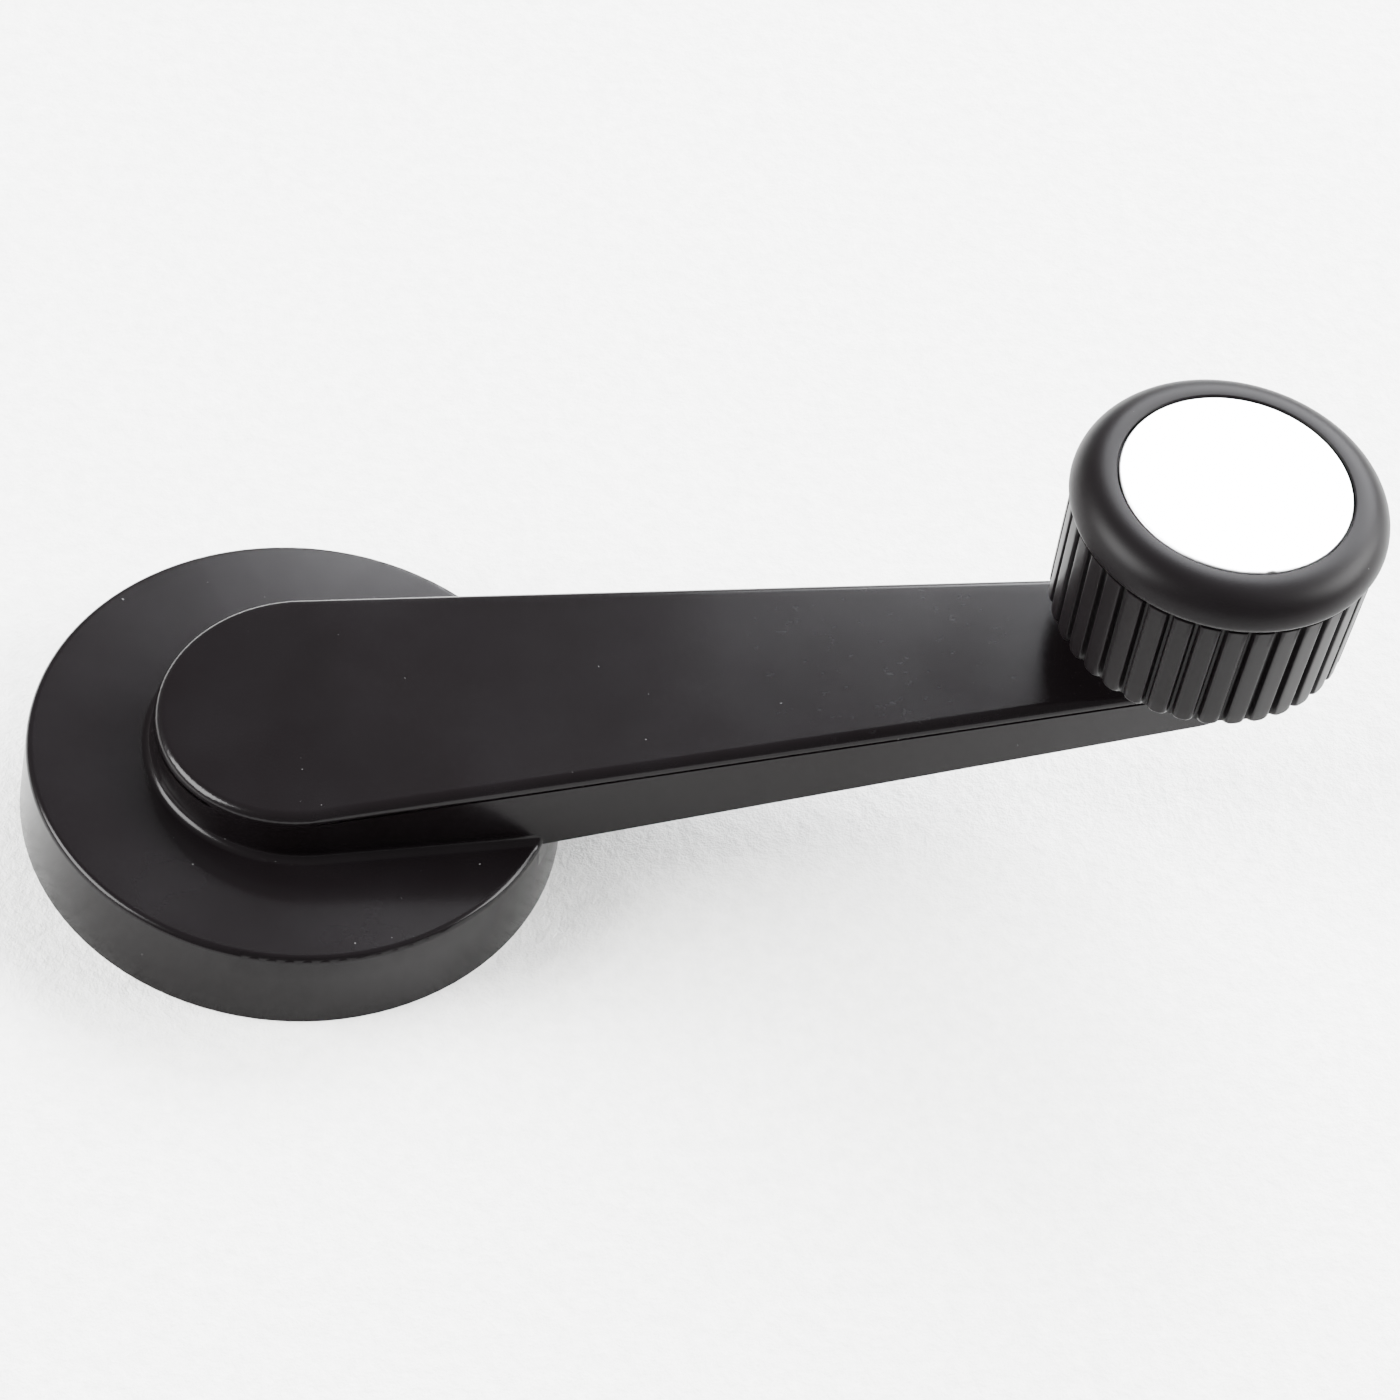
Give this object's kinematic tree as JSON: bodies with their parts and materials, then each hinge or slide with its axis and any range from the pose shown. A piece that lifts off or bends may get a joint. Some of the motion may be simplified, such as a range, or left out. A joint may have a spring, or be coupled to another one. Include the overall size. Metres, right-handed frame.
{
  "type": "window winder crank",
  "caption": "Black hand crank for a car's side window: round skirted base, tapered rising arm with a clipped cover, and a ribbed spinning grip with a bright disc.",
  "frame": {"origin": "the spindle bore's axis at its mouth, in the plane of the skirt's rim, which is the door panel's face", "axes": "+X along the arm towards the grip, +Z along the spindle away from the door, +Y across the arm"},
  "size_m": [0.1484, 0.0612, 0.052],
  "materials": {
    "black_plastic": "satin black moulding",
    "cover_plastic": "satin black moulding",
    "grip_plastic": "satin black moulding",
    "bright_disc": "fine satin",
    "hub_metal": "die-cast, dull",
    "strap_steel": "bare pressed steel",
    "screw_steel": "zinc plated",
    "stud_steel": "turned",
    "clip_steel": "blackened spring steel",
    "nylon": "natural nylon",
    "adhesive": "foam adhesive"
  },
  "bodies": {
    "crank": {"crank_body": "black_plastic", "arm_cover": "cover_plastic", "drive_hub": "hub_metal", "core_strap": "strap_steel", "handle_screw": "screw_steel", "flat_washer": "screw_steel", "lock_washer": "screw_steel", "core_screw": "screw_steel", "knob_stud": "stud_steel", "spring_washer": "strap_steel", "thrust_washer": "nylon", "retaining_clip": "clip_steel"},
    "grip": {"knob_shell": "grip_plastic", "knob_bush": "nylon", "disc_pad": "adhesive", "knob_disc": "bright_disc"}
  },
  "joints": [
    {"name": "knob_spin", "type": "hinge", "parent": "crank", "child": "grip", "pos_m": [0.1, 0, 0.0403], "axis": [0, 0, 1], "continuous": true}
  ]
}
